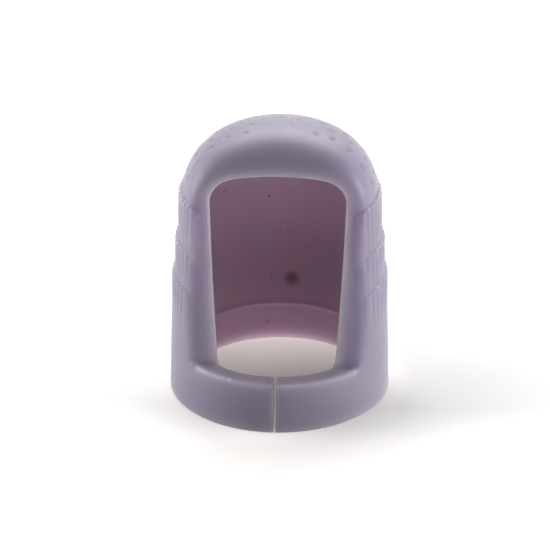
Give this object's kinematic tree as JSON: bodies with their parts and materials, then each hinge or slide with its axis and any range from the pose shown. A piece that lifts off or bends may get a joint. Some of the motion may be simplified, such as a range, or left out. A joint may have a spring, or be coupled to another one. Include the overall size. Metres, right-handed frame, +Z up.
{
  "type": "finger thimble",
  "caption": "Soft silicone finger thimble: tapered sleeve with a closed dimpled tip, finely ribbed tiers, a nail window in front and a slit band at the mouth.",
  "frame": {"origin": "centre of the round open mouth, on the plane that the thimble stands on", "axes": "+Z up along the finger, from the mouth to the closed tip; -Y out of the nail window and through the slit in the band; +X to the right of somebody who looks at the window"},
  "size_m": [0.021, 0.021, 0.0271],
  "materials": {
    "silicone": "soft translucent lilac-grey silicone, satin, moulded"
  },
  "bodies": {
    "root": {"thimble": "silicone"}
  },
  "joints": []
}
